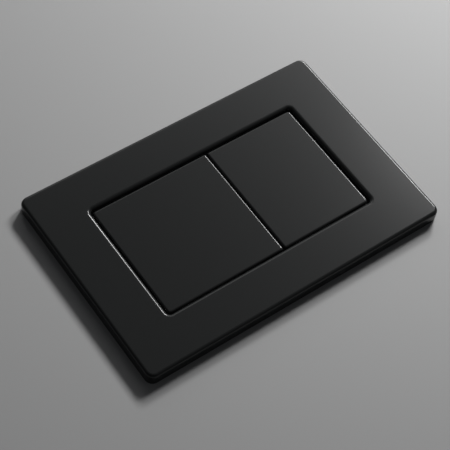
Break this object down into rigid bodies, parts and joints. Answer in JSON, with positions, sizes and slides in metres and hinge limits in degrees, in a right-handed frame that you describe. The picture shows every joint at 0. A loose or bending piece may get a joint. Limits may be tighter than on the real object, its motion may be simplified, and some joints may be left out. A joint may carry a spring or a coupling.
{
  "type": "flush button plate",
  "caption": "Rectangular satin black flush plate for a concealed cistern: a soft-edged face frame round a wide and a narrow hinged press button set a little below it, with levers behind them for push rods.",
  "frame": {"origin": "middle of the plate's outline, on the wall face that the rim and the gasket lie on", "axes": "+X along the plate from the wide button to the narrow one, +Y towards the hinged upper edge, +Z out of the wall through the face"},
  "size_m": [0.246, 0.164, 0.01],
  "materials": {
    "satin_black": "moulded ABS with a satin black soft-touch lacquer",
    "grey_plastic": "moulded grey ABS",
    "white_plastic": "moulded natural acetal",
    "pin_steel": "drawn stainless steel",
    "spring_steel": "cold-rolled stainless spring strip",
    "buffer_rubber": "moulded rubber",
    "foam": "closed-cell foam"
  },
  "bodies": {
    "plate": {"face_frame": "satin_black", "base_frame": "grey_plastic", "wall_gasket": "foam", "full_hinge_pin": "pin_steel", "half_hinge_pin": "pin_steel", "full_lever_pin": "pin_steel", "half_lever_pin": "pin_steel", "full_left_spring": "spring_steel", "full_right_spring": "spring_steel", "half_left_spring": "spring_steel", "half_right_spring": "spring_steel", "full_left_buffer": "buffer_rubber", "full_right_buffer": "buffer_rubber", "half_left_buffer": "buffer_rubber", "half_right_buffer": "buffer_rubber"},
    "full_button": {"full_flush_button": "satin_black"},
    "half_button": {"half_flush_button": "satin_black"},
    "full_lever": {"full_flush_lever": "white_plastic"},
    "half_lever": {"half_flush_lever": "white_plastic"}
  },
  "joints": [
    {"name": "full_press", "type": "hinge", "parent": "plate", "child": "full_button", "pos_m": [-0.0374, 0.0424, 0.0046], "axis": [1, 0, 0], "range_deg": [0, 2.5], "stiffness_Nm_per_rad": 3, "springref_deg": -3.44, "deforming": ["full_left_spring", "full_right_spring"]},
    {"name": "half_press", "type": "hinge", "parent": "plate", "child": "half_button", "pos_m": [0.0481, 0.0424, 0.0046], "axis": [1, 0, 0], "range_deg": [0, 2.5], "stiffness_Nm_per_rad": 3, "springref_deg": -3.44, "deforming": ["half_left_spring", "half_right_spring"]},
    {"name": "full_lever_turn", "type": "hinge", "parent": "plate", "child": "full_lever", "pos_m": [-0.034, 0.0234, 0.0039], "axis": [1, 0, 0], "range_deg": [0, 3.44]},
    {"name": "half_lever_turn", "type": "hinge", "parent": "plate", "child": "half_lever", "pos_m": [0.034, 0.0234, 0.0039], "axis": [1, 0, 0], "range_deg": [0, 3.44]}
  ],
  "couplings": [
    {"joint": "full_lever_turn", "follows": "full_press", "ratio": 1.3725},
    {"joint": "half_lever_turn", "follows": "half_press", "ratio": 1.3725}
  ]
}
